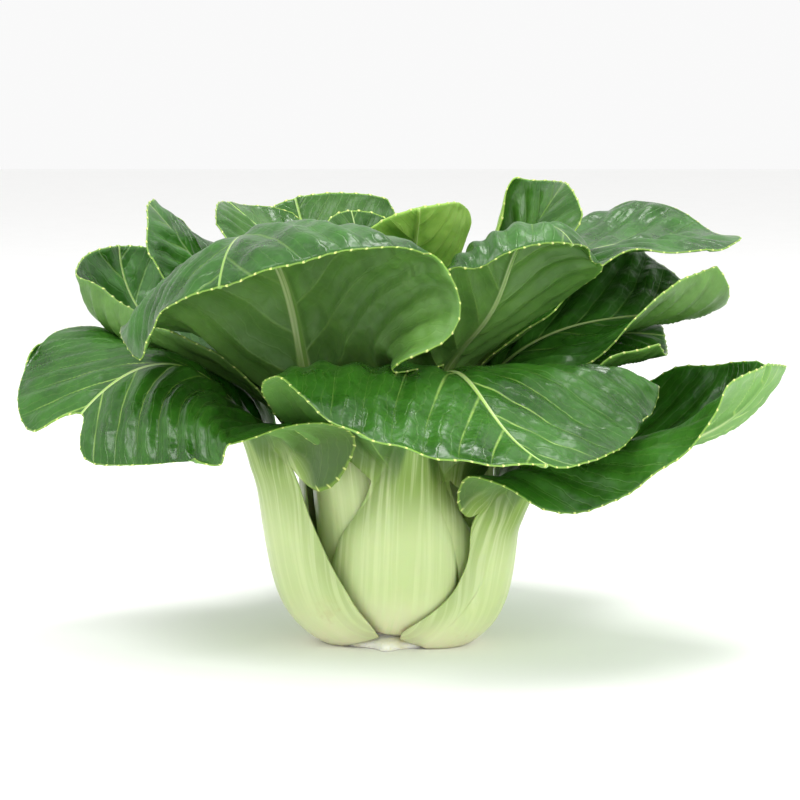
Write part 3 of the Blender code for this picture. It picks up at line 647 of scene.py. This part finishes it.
def new_piece(name, corners, quads, material):
    """A smooth mesh object at the origin, filled from arrays."""
    mesh = bpy.data.meshes.new(name)
    mesh.vertices.add(len(corners))
    mesh.vertices.foreach_set("co", corners.astype(np.float32).ravel())
    mesh.loops.add(quads.size)
    mesh.loops.foreach_set("vertex_index", quads.astype(np.int32).ravel())
    mesh.polygons.add(len(quads))
    mesh.polygons.foreach_set("loop_start", np.arange(0, quads.size, 4, dtype=np.int32))
    mesh.polygons.foreach_set("use_smooth", np.ones(len(quads), bool))
    mesh.update(calc_edges=True)
    mesh.materials.append(material)
    piece = bpy.data.objects.new(name, mesh)
    bpy.context.scene.collection.objects.link(piece)
    return piece


def add_value(piece, name, values):
    """A number for each corner that a material can read."""
    held = piece.data.attributes.new(name, "FLOAT", "POINT")
    held.data.foreach_set("value", values.astype(np.float32).ravel())


def add_map(piece, across, lengthwise):
    """The UV map that runs across and along the leaf."""
    corner = np.empty(len(piece.data.loops), np.int32)
    piece.data.loops.foreach_get("vertex_index", corner)
    both = np.stack([across.ravel()[corner], lengthwise.ravel()[corner]], -1)
    piece.data.uv_layers.new(name="leaf")
    piece.data.uv_layers["leaf"].data.foreach_set("uv", both.astype(np.float32).ravel())


def make_leaf(p, tissue, look):
    """One leaf from base to tip, in place of its stalk and its blade."""
    state = settled()
    k = LEAVES.index(p)
    cells_each = CELLS
    front, back, values, place = leaf_surface(p, state["paths"][k], state["raw"][k], state["points"][k],
                                              look, cells_each)
    corners, quads = closed_grid(front, back)
    piece = new_piece(p["name"], corners, quads, tissue)
    for name, numbers in values.items():
        add_value(piece, name, np.concatenate([numbers.ravel(), numbers.ravel()]))
    add_value(piece, "back", np.repeat([0.0, 1.0], front.shape[0] * front.shape[1]))
    add_map(piece, *(np.concatenate([m.ravel(), m.ravel()]) for m in place))
    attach(piece, "root")
    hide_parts(p["name"] + "_stalk", p["name"] + "_blade")
    return piece


def stem_surface(points):
    """The cut stem: rings around the axis, lobed low at the front, with a slightly torn surface."""
    stalks = np.concatenate([x[:4].reshape(-1, 3) for x in points])
    reach = np.hypot(stalks[:, 0], stalks[:, 1])

    def room(z):
        beside = np.abs(stalks[:, 2] - z) < 3 * MM
        return max(0.8 * MM, reach[beside].min() - 1.3 * MM) if beside.any() else 0.8 * MM

    levels = [(0.0, 0.4 * MM, 0.0), (0.0, 0.6 * STEM_RADIUS, 0.0),
              (0.0, STEM_RADIUS + STEM_FLARE - 0.9 * MM, 1.0), (0.35 * MM, STEM_RADIUS + STEM_FLARE, 1.0),
              (0.5 * STEM_DISC, STEM_RADIUS + 0.8 * STEM_FLARE, 1.0),
              (STEM_DISC - 0.5 * MM, STEM_RADIUS, 1.0), (STEM_DISC, STEM_RADIUS - 0.9 * MM, 0.6)]
    cone = STEM_RADIUS - 3 * MM
    for z in np.linspace(STEM_DISC + 0.4 * MM, STEM_TOP, 9):
        cone = min(cone, room(z))
        levels.append((z, cone, 0.0))
    levels.append((STEM_TOP, 0.2 * MM, 0.0))
    z, radius, lobed = (np.array(column)[:, None] for column in zip(*levels))
    angle = np.linspace(0, 360, 145)[None, :-1]
    r = radius + lobed * LOBE * np.exp(-((angle - LOBE_AT) / LOBE_SPREAD) ** 2)
    r = r + lobed * 0.25 * MM * ripples(np.radians(angle) * STEM_RADIUS, z * 3, 4 * MM, 3)
    a = np.radians(angle)
    return np.stack([r * np.cos(a), r * np.sin(a), z + 0 * a], -1)


def rings_body(points):
    """Corners and quads of rings that close on themselves, with both ends drawn to a point."""
    rows, columns = points.shape[:2]
    index = np.arange(rows * columns).reshape(rows, columns)
    onward = np.roll(index, -1, axis=1)
    quads = np.stack([index[:-1], onward[:-1], onward[1:], index[1:]], -1).reshape(-1, 4)
    half = columns // 2
    ends = []
    for ring, flip in ((index[0], True), (index[-1], False)):
        for k in range(half - 1):
            quad = (ring[k], ring[k + 1], ring[columns - 2 - k], ring[columns - 1 - k])
            ends.append(quad[::-1] if flip else quad)
    return points.reshape(-1, 3), np.concatenate([quads, np.array(ends)])


# Kinds of nodes that are used often, and the settings that go with them
MATH, RANGE, MIX, NOISE = "ShaderNodeMath", "ShaderNodeMapRange", "ShaderNodeMix", "ShaderNodeTexNoise"
EASE = dict(interpolation_type="SMOOTHSTEP")
TIMES, PLUS, MINUS, TIMES_PLUS = (dict(operation=k) for k in ("MULTIPLY", "ADD", "SUBTRACT", "MULTIPLY_ADD"))
COLOURS = dict(data_type="RGBA")
SHARE, FIRST, SECOND, MIXED = 0, 6, 7, 2     # a colour mix's inputs, and its output


def put(tree, kind, inputs, settings=None, output=0):
    """Adds a node with its settings, fills its inputs and returns one of its outputs.

    inputs maps an input's name or number to a number, a hex colour or another node's output; a list fills
    the inputs in their order."""
    node = tree.nodes.new(kind)
    for name, value in (settings or {}).items():
        setattr(node, name, value)
    for key, value in (inputs.items() if isinstance(inputs, dict) else enumerate(inputs)):
        if isinstance(value, bpy.types.NodeSocket):
            tree.links.new(value, node.inputs[key])
        else:
            node.inputs[key].default_value = linear(value) if isinstance(value, str) else value
    return node.outputs[output] if node.outputs else None


def linear(hex_colour):
    """An sRGB hex colour as linear numbers with alpha."""
    parts = [int(hex_colour[k:k + 2], 16) / 255 for k in (1, 3, 5)]
    return tuple(c / 12.92 if c <= 0.04045 else ((c + 0.055) / 1.055) ** 2.4 for c in parts) + (1.0,)


def new_material(name):
    """An empty material, and a function that puts a node into it."""
    made = bpy.data.materials.new(name)
    made.use_nodes = True
    made.node_tree.nodes.clear()
    return made, partial(put, made.node_tree)


# What the leaves' material is made of: sizes, sRGB colours and roughness
VEIN_GAP = 9.0                # mm between side veins, for the widths of their lines
RIM_DOT = "#D3DE86"           # the light tip of a tooth
RIB_SEEN_BEHIND = 0.45        # how far out the pale midrib shows on the back, as a share of its half width
PUCKER = 4.5                  # height of the 6 mm puckers against that of the veins
PAINTED_SHADE_BY_NECK = "#3F5A22"           # painted shade: dark grey green laid on the blade's corners beside the neck, where they lie in shade
STREAKS = (110.0, 3.2, 1.0)   # long streaks about 1.5 mm apart
STALK_BASE = "#EFEDC8"
STALK_MIDDLE = "#CBDB9C"
# green of the stalk's neck and flanks, darkened further as painted shade of the neck
STALK_NECK_GREEN_AND_SHADE = "#83A044"
STALK_STREAK = "#DEE9B4"
STALK_BRUISE = "#B9A265"
FRONT_ROUGHNESS = 0.30
BACK_ROUGHNESS = 0.5
STALK_ROUGHNESS = 0.34


def leaf_tissue(name, front, front_light, back, back_light, vein, rim, bold):
    """Living leaf of bok choy: a waxy, half-glossy dark front with light sunken veins, a matte paler back
    with raised ones, and a juicy pale stalk. It is moist tissue under a wax skin: IOR about 1.45."""
    made, add = new_material(name)
    place = add("ShaderNodeTexCoord", {}, output="Object")
    leaf_map = add("ShaderNodeUVMap", {}, dict(uv_map="leaf"))
    behind, edge, out, blade, rib, count, lengthwise, around, far = (
        add("ShaderNodeAttribute", {}, dict(attribute_name=k), "Fac")
        for k in ("back", "edge", "out", "blade", "rib", "vein", "along", "around", "far"))

    # Cloudy greens, about 20 mm and 2 mm across
    cloud = add(NOISE, dict(Vector=place, Scale=55.0, Detail=3.0, Roughness=0.55))
    speckle = add(NOISE, dict(Vector=place, Scale=420.0, Detail=4.0, Roughness=0.65))
    cloudy = add(MATH, [add(RANGE, [cloud, 0.32, 0.7, 0.0, 0.75], EASE),
                        add(RANGE, [speckle, 0.3, 0.75, 0.0, 0.25], EASE)], PLUS)

    # Side veins where the count is whole, thinner and fainter outwards, and finer ones between them
    step = add(MATH, [count, 0.5], dict(operation="PINGPONG"))
    width = add(RANGE, [out, 0.04, 0.7, 0.36, 0.10], EASE)
    near = add(MATH, [add(MATH, [step, VEIN_GAP], TIMES), width], dict(operation="DIVIDE"))
    side = add(RANGE, [near, 0.2, 1.5, 1.0, 0.0], EASE)
    wander = add(NOISE, dict(Vector=place, Scale=140.0, Detail=2.0))
    third = add(MATH, [count, 3.0, add(MATH, [wander, 1.6], TIMES)], TIMES_PLUS)
    step = add(MATH, [third, 0.5], dict(operation="PINGPONG"))
    fine = add(RANGE, [add(MATH, [step, VEIN_GAP / 3], TIMES), 0.03, 0.30, 1.0, 0.0], EASE)
    rib_edge = add(RANGE, [behind, 0.0, 1.0, 0.25, RIB_SEEN_BEHIND])
    beside = add(RANGE, [add(MATH, [rib, rib_edge], MINUS), 0.0, 0.25], EASE)
    lamina = add(MATH, [beside, blade], TIMES)
    side = add(MATH, [side, lamina], TIMES)
    fine = add(MATH, [fine, lamina], TIMES)

    # The lamina's colours on either face, then what lies over them, the painted shade beside the neck first
    face, reverse = (
        add(MIX, {SHARE: cloudy, FIRST: dark, SECOND: light}, COLOURS, MIXED)
        for dark, light in ((front, front_light), (back, back_light)))
    tissue = add(MIX, {SHARE: behind, FIRST: face, SECOND: reverse}, COLOURS, MIXED)
    # Painted shade: the blade's corners beside the neck are darkened towards the neck
    shade_by_neck = add(RANGE, [far, 0.03, 0.22, 0.85, 0.0], EASE)
    faint = add(MATH, [fine, 0.05], TIMES)
    shown = add(RANGE, [out, 0.03, 0.6, bold, 0.22 * bold], EASE)
    broken = add(RANGE, [wander, 0.36, 0.6, 0.4, 1.0], EASE)
    shown = add(MATH, [add(MATH, [side, shown], TIMES), broken], TIMES)
    margin = add(MATH, [add(RANGE, [edge, 0.1, 0.45, 0.6, 0.0], EASE), blade], TIMES)
    beat = add(MATH, [around, TOOTH_SPACING / 2], dict(operation="PINGPONG"))
    dot = add(MATH, [add(RANGE, [beat, 0.2, 0.42, 1.0, 0.0], EASE),
                     add(RANGE, [edge, 0.25, 0.55, 1.0, 0.0], EASE)], TIMES)
    dot = add(MATH, [dot, blade], TIMES)
    for share_of, colour in ((shade_by_neck, PAINTED_SHADE_BY_NECK), (faint, vein), (shown, vein), (margin, rim), (dot, RIM_DOT)):
        tissue = add(MIX, {SHARE: share_of, FIRST: tissue, SECOND: colour}, COLOURS, MIXED)

    # The stalk: whitish at the base, greener at the neck and darker there as painted shade, with long light
    # streaks about 2 mm apart
    streak_place = add("ShaderNodeMapping", dict(Vector=leaf_map, Scale=STREAKS))
    streak = add(NOISE, dict(Vector=streak_place, Scale=1.0, Detail=3.0, Roughness=0.6),
                 dict(noise_dimensions="2D"))
    blotch = add(NOISE, dict(Vector=place, Scale=75.0, Detail=4.0, Roughness=0.7))
    bruise = add(MATH, [add(RANGE, [blotch, 0.58, 0.72], EASE),
                        add(RANGE, [lengthwise, 0.08, 0.4, 0.5, 0.0], EASE)], TIMES)
    rib_colour = add(MIX, {SHARE: behind, FIRST: vein, SECOND: back_light}, COLOURS, MIXED)
    pale = STALK_BASE
    # The neck's green is partly its own colour and partly painted shade
    for value, low, high, most, colour in (
            (lengthwise, 0.02, 0.4, 1.0, STALK_MIDDLE), (lengthwise, 0.6, 1.1, 1.0, STALK_NECK_GREEN_AND_SHADE),
            (out, 0.55, 1.0, 0.4, STALK_NECK_GREEN_AND_SHADE), (far, 0.0, 0.3, 0.85, rib_colour),
            (streak, 0.42, 0.7, 0.5, STALK_STREAK)):
        eased = add(RANGE, [value, low, high, 0.0, most], EASE)
        pale = add(MIX, {SHARE: eased, FIRST: pale, SECOND: colour}, COLOURS, MIXED)
    pale = add(MIX, {SHARE: bruise, FIRST: pale, SECOND: STALK_BRUISE}, COLOURS, MIXED)
    colour = add(MIX, {SHARE: lamina, FIRST: pale, SECOND: tissue}, COLOURS, MIXED)

    # Wax: the front shines more than the back, unevenly
    shine = add(RANGE, [cloud, 0.3, 0.7, FRONT_ROUGHNESS - 0.05, FRONT_ROUGHNESS + 0.1], EASE)
    on_lamina = add(RANGE, [behind, 0.0, 1.0, shine, BACK_ROUGHNESS])
    rough = add(RANGE, [lamina, 0.0, 1.0, STALK_ROUGHNESS, on_lamina])

    # Relief: veins sunk in front and raised behind, a fine grain, and the stalk's streaks
    sunk = add(MATH, [add(MATH, [side, 0.8], TIMES), add(MATH, [fine, 0.3], TIMES)], PLUS)
    way = add(RANGE, [behind, 0.0, 1.0, -1.0, 0.8])
    pucker = add(NOISE, dict(Vector=place, Scale=170.0, Detail=2.0))
    rough_skin = add(MATH, [pucker, PUCKER, add(MATH, [speckle, 0.3], TIMES)], TIMES_PLUS)
    rough_skin = add(MATH, [rough_skin, add(RANGE, [lamina, 0.0, 1.0, 0.3, 1.0])], TIMES)
    height = add(MATH, [sunk, way, rough_skin], TIMES_PLUS)
    stripe = add(MATH, [streak, add(MATH, [1.0, lamina], MINUS)], TIMES)
    height = add(MATH, [stripe, 0.35, height], TIMES_PLUS)
    bump = add("ShaderNodeBump", dict(Strength=0.4, Distance=0.0005, Height=height))
    surface = add("ShaderNodeBsdfPrincipled", {
        "Base Color": colour, "Roughness": rough, "Normal": bump, "IOR": 1.45, "Subsurface Weight": 0.3,
        "Subsurface Radius": (0.5, 1.0, 0.15), "Subsurface Scale": 0.0018})
    add("ShaderNodeOutputMaterial", {"Surface": surface})
    return made


def cut_tissue():
    """The cut end of the stem: moist white pith inside a pale skin, matte and slightly fibrous."""
    made, add = new_material("cut_stem_pith")
    place = add("ShaderNodeTexCoord", {}, output="Object")
    fibre = add(NOISE, dict(Vector=place, Scale=700.0, Detail=4.0, Roughness=0.7))
    patch = add(NOISE, dict(Vector=place, Scale=130.0, Detail=3.0))
    patchy = add(RANGE, [patch, 0.4, 0.7], EASE)
    colour = add(MIX, {SHARE: patchy, FIRST: "#FFFDEE", SECOND: "#F4EFCB"}, COLOURS, MIXED)
    dark = add(RANGE, [fibre, 0.55, 0.75, 0.0, 0.35], EASE)
    colour = add(MIX, {SHARE: dark, FIRST: colour, SECOND: "#D9CCA0"}, COLOURS, MIXED)
    bump = add("ShaderNodeBump", dict(Strength=0.7, Distance=0.0004, Height=fibre))
    surface = add("ShaderNodeBsdfPrincipled", {
        "Base Color": colour, "Roughness": 0.6, "Normal": bump, "IOR": 1.42, "Subsurface Weight": 0.4,
        "Subsurface Radius": (0.9, 0.8, 0.4), "Subsurface Scale": 0.003})
    add("ShaderNodeOutputMaterial", {"Surface": surface})
    return made


class BokChoySettings(bpy.types.PropertyGroup):
    """Sizes and colours of the leaves that a user would change."""
    blister: bpy.props.FloatProperty(
        name="Blisters", description="How far the blade bulges between its side veins, in millimetres",
        default=1.3, min=0.0, max=3.0)
    outer_front: bpy.props.StringProperty(
        name="Outer leaves", description="Front colour of the outer leaves, as an sRGB hex value",
        default="#1F4A0E")
    middle_front: bpy.props.StringProperty(
        name="Middle leaves", description="Front colour of the middle leaves, as an sRGB hex value",
        default="#204A10")
    heart_front: bpy.props.StringProperty(
        name="Heart leaves", description="Front colour of the heart leaves, as an sRGB hex value",
        default="#2A5A14")


class StageSettings(bpy.types.PropertyGroup):
    """The camera and lights."""
    distance: bpy.props.FloatProperty(
        name="Camera distance", description="From the camera to the point it looks at", default=0.9,
        unit="LENGTH")
    elevation: bpy.props.FloatProperty(
        name="Camera elevation", description="How far the camera looks down", default=math.radians(6),
        subtype="ANGLE")
    lens: bpy.props.FloatProperty(
        name="Lens", description="Focal length on a 36 mm wide sensor, in millimetres", default=144.6)
    brightness: bpy.props.FloatProperty(
        name="Brightness", description="Strength of all the lights together", default=1.0, min=0.0)


def make_group(names, tissue, blister):
    """The leaves of one group."""
    for p in LEAVES:
        if p["name"] in names:
            make_leaf(p, tissue, dict(blister=blister))


class BOKCHOY_OT_stem(bpy.types.Operator):
    """Builds the cut stem"""
    bl_idname = "bokchoy.stem"
    bl_label = "Cut stem"

    def execute(self, context):
        corners, quads = rings_body(stem_surface(settled()["points"]))
        piece = new_piece("cut_stem", corners, quads, cut_tissue())
        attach(piece, "root")
        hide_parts("stem")
        return {"FINISHED"}


class BOKCHOY_OT_outer_leaves(bpy.types.Operator):
    """Builds the mature outer leaves"""
    bl_idname = "bokchoy.outer_leaves"
    bl_label = "Outer leaves"

    def execute(self, context):
        own = context.scene.bokchoy
        tissue = leaf_tissue("mature_leaf_tissue", own.outer_front, "#376E1B", "#5B8A3E", "#71A04E",
                             "#A3C765", "#8FB04A", 0.72)
        make_group(OUTER, tissue, own.blister)
        return {"FINISHED"}


class BOKCHOY_OT_middle_leaves(bpy.types.Operator):
    """Builds the leaves between the outer ones and the heart"""
    bl_idname = "bokchoy.middle_leaves"
    bl_label = "Middle leaves"

    def execute(self, context):
        own = context.scene.bokchoy
        tissue = leaf_tissue("half_grown_leaf_tissue", own.middle_front, "#387020", "#517A34", "#6A9645",
                               "#8AB058", "#8FB04A", 0.38)
        make_group(MIDDLE, tissue, own.blister)
        return {"FINISHED"}


class BOKCHOY_OT_heart_leaves(bpy.types.Operator):
    """Builds the young leaves of the heart"""
    bl_idname = "bokchoy.heart_leaves"
    bl_label = "Heart leaves"

    def execute(self, context):
        own = context.scene.bokchoy
        tissue = leaf_tissue("young_leaf_tissue", own.heart_front, "#437224", "#7CA642", "#98BE56",
                             "#98C060", "#A4C556", 0.34)
        make_group(HEART, tissue, own.blister * 0.7)
        return {"FINISHED"}


def add_light(name, place, aim, size, power):
    """A soft white square light that faces aim."""
    data = bpy.data.lights.new(name, "AREA")
    data.shape = "SQUARE"
    data.size = size
    data.energy = power
    lamp = bpy.data.objects.new(name, data)
    lamp.location = place
    lamp.rotation_euler = (Vector(aim) - Vector(place)).to_track_quat("-Z", "Y").to_euler()
    bpy.context.scene.collection.objects.link(lamp)


def floor_paper():
    """Seamless studio paper: matte, almost white."""
    made, add = new_material("white_studio_paper")
    place = add("ShaderNodeTexCoord", {}, output="Object")
    grain = add(NOISE, dict(Vector=place, Scale=30.0, Detail=2.0))
    colour = add(MIX, {SHARE: grain, FIRST: "#F6F6F5", SECOND: "#FAFAF9"}, COLOURS, MIXED)
    surface = add("ShaderNodeBsdfPrincipled", {"Base Color": colour, "Roughness": 0.85})
    add("ShaderNodeOutputMaterial", {"Surface": surface})
    return made


FLOOR_HALF = 4.0              # metres
AIM = (0.002, 0.0, 0.0678)    # the point that the camera looks at
CROWN = (0.0, 0.0, 0.08)      # and the lights
# Soft lights: name, place, size in metres and power in watts
LIGHTS = (("key", (-0.55, -0.75, 1.25), 0.7, 11.0), ("fill", (0.9, -0.7, 0.9), 0.6, 6.0),
          ("low", (0.25, -1.0, 0.15), 0.5, 1.6), ("top", (0.25, 0.25, 1.3), 0.4, 7.0))


class BOKCHOY_OT_stage(bpy.types.Operator):
    """Sets up the floor, the soft lights and the camera"""
    bl_idname = "bokchoy.stage"
    bl_label = "Stage"

    def execute(self, context):
        own = context.scene.bokchoy_stage
        mesh = bpy.data.meshes.new("floor")
        corners = [(x * FLOOR_HALF, y * FLOOR_HALF, 0) for x, y in ((-1, -1), (1, -1), (1, 1), (-1, 1))]
        mesh.from_pydata(corners, [], [(0, 1, 2, 3)])
        mesh.materials.append(floor_paper())
        floor = bpy.data.objects.new("floor", mesh)
        context.scene.collection.objects.link(floor)

        world = bpy.data.worlds.new("white_room")
        world.use_nodes = True
        background = world.node_tree.nodes["Background"]
        background.inputs["Color"].default_value = (1.0, 1.0, 1.0, 1.0)
        background.inputs["Strength"].default_value = 0.95 * own.brightness
        context.scene.world = world
        for name, place, size, power in LIGHTS:
            add_light(name, place, CROWN, size, power * own.brightness)
        context.scene.view_settings.view_transform = "Standard"

        data = bpy.data.cameras.new("camera")
        data.sensor_width = 36.0
        data.lens = own.lens
        camera = bpy.data.objects.new("camera", data)
        aim = Vector(AIM)
        away = Vector((0.0, -math.cos(own.elevation), math.sin(own.elevation)))
        camera.location = aim + own.distance * away
        camera.rotation_euler = (-away).to_track_quat("-Z", "Y").to_euler()
        context.scene.collection.objects.link(camera)
        context.scene.camera = camera
        return {"FINISHED"}


STEPS = (BOKCHOY_OT_stem, BOKCHOY_OT_outer_leaves, BOKCHOY_OT_middle_leaves, BOKCHOY_OT_heart_leaves,
         BOKCHOY_OT_stage)


class BOKCHOY_PT_panel(bpy.types.Panel):
    """Lists the steps and their settings"""
    bl_label = "Bok choy"
    bl_idname = "BOKCHOY_PT_panel"
    bl_space_type = "VIEW_3D"
    bl_region_type = "UI"
    bl_category = "Bok choy"

    def draw(self, context):
        for group in (context.scene.bokchoy, context.scene.bokchoy_stage):
            for name in group.__annotations__:
                self.layout.prop(group, name)
        for step in STEPS:
            self.layout.operator(step.bl_idname)


CLASSES = (BokChoySettings, StageSettings, *STEPS, BOKCHOY_PT_panel)


def register():
    for each in CLASSES:
        bpy.utils.register_class(each)
    bpy.types.Scene.bokchoy = bpy.props.PointerProperty(type=BokChoySettings)
    bpy.types.Scene.bokchoy_stage = bpy.props.PointerProperty(type=StageSettings)


def unregister():
    del bpy.types.Scene.bokchoy_stage
    del bpy.types.Scene.bokchoy
    for each in reversed(CLASSES):
        bpy.utils.unregister_class(each)


def main():
    register()
    bpy.ops.bokchoy.stem()
    bpy.ops.bokchoy.outer_leaves()
    bpy.ops.bokchoy.middle_leaves()
    bpy.ops.bokchoy.heart_leaves()
    bpy.ops.bokchoy.stage()


if __name__ == "__main__":
    main()
